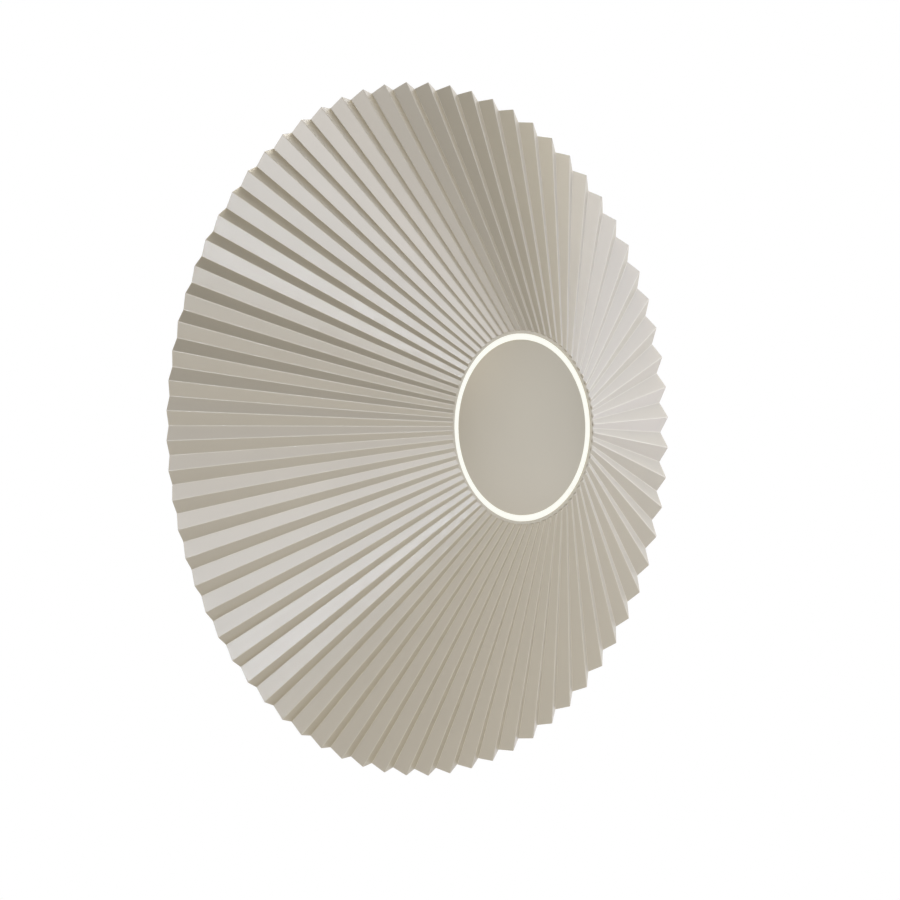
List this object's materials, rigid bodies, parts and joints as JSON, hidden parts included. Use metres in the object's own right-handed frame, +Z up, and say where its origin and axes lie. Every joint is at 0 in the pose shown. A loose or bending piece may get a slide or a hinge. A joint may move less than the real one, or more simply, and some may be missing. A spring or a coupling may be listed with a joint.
{
  "type": "wall light",
  "caption": "Round wall light: a shallow cone of radially pleated sheet around a flat disc edged by a thin lit ring.",
  "frame": {"origin": "centre of the wall bracket's screw slots, on the wall", "axes": "+Z up, the light faces -Y, the wall is the plane Y = 0"},
  "size_m": [0.5994, 0.1465, 0.5994],
  "materials": {
    "beige_shade": "satin powder coat, warm beige",
    "beige_collar": "satin powder coat, warm beige",
    "beige_disc": "satin powder coat, warm beige",
    "beige_drum": "satin powder coat, warm beige",
    "beige_screws": "satin powder coat, warm beige",
    "lit_opal": "opal acrylic, lit",
    "nickel": "nickel plate",
    "bright_aluminium": "mill finish",
    "zinc_steel": "bright zinc plate",
    "zinc_sheet": "galvanised sheet",
    "white_board": "white solder mask",
    "led_phosphor": "phosphor under silicone",
    "black_rubber": "matt",
    "white_case": "moulded, fine grain",
    "natural_nylon": "natural nylon",
    "tinned_brass": "tinned",
    "brown_insulation": "smooth",
    "blue_insulation": "smooth",
    "earth_insulation": "smooth, green with a yellow stripe",
    "red_insulation": "smooth",
    "black_insulation": "smooth"
  },
  "bodies": {
    "root": {"shade": "beige_shade", "shade_collar": "beige_collar", "front_disc": "beige_disc", "body_drum": "beige_drum", "diffuser_ring": "lit_opal", "disc_magnets": "nickel", "magnet_posts": "bright_aluminium", "post_screws": "zinc_steel", "led_carrier": "bright_aluminium", "led_board": "white_board", "led_packages": "led_phosphor", "hub_screws": "zinc_steel", "wall_bracket": "zinc_sheet", "side_screws": "beige_screws", "cable_grommet": "black_rubber", "deck_grommet": "black_rubber", "driver_case": "white_case", "driver_cover": "white_case", "driver_screws": "zinc_steel", "terminal_block": "natural_nylon", "terminal_screws": "zinc_steel", "block_screws": "zinc_steel", "earth_lug": "tinned_brass", "earth_washer": "zinc_steel", "earth_screw": "zinc_steel", "live_lead": "brown_insulation", "neutral_lead": "blue_insulation", "earth_lead": "earth_insulation", "led_positive_lead": "red_insulation", "led_negative_lead": "black_insulation"}
  },
  "joints": []
}
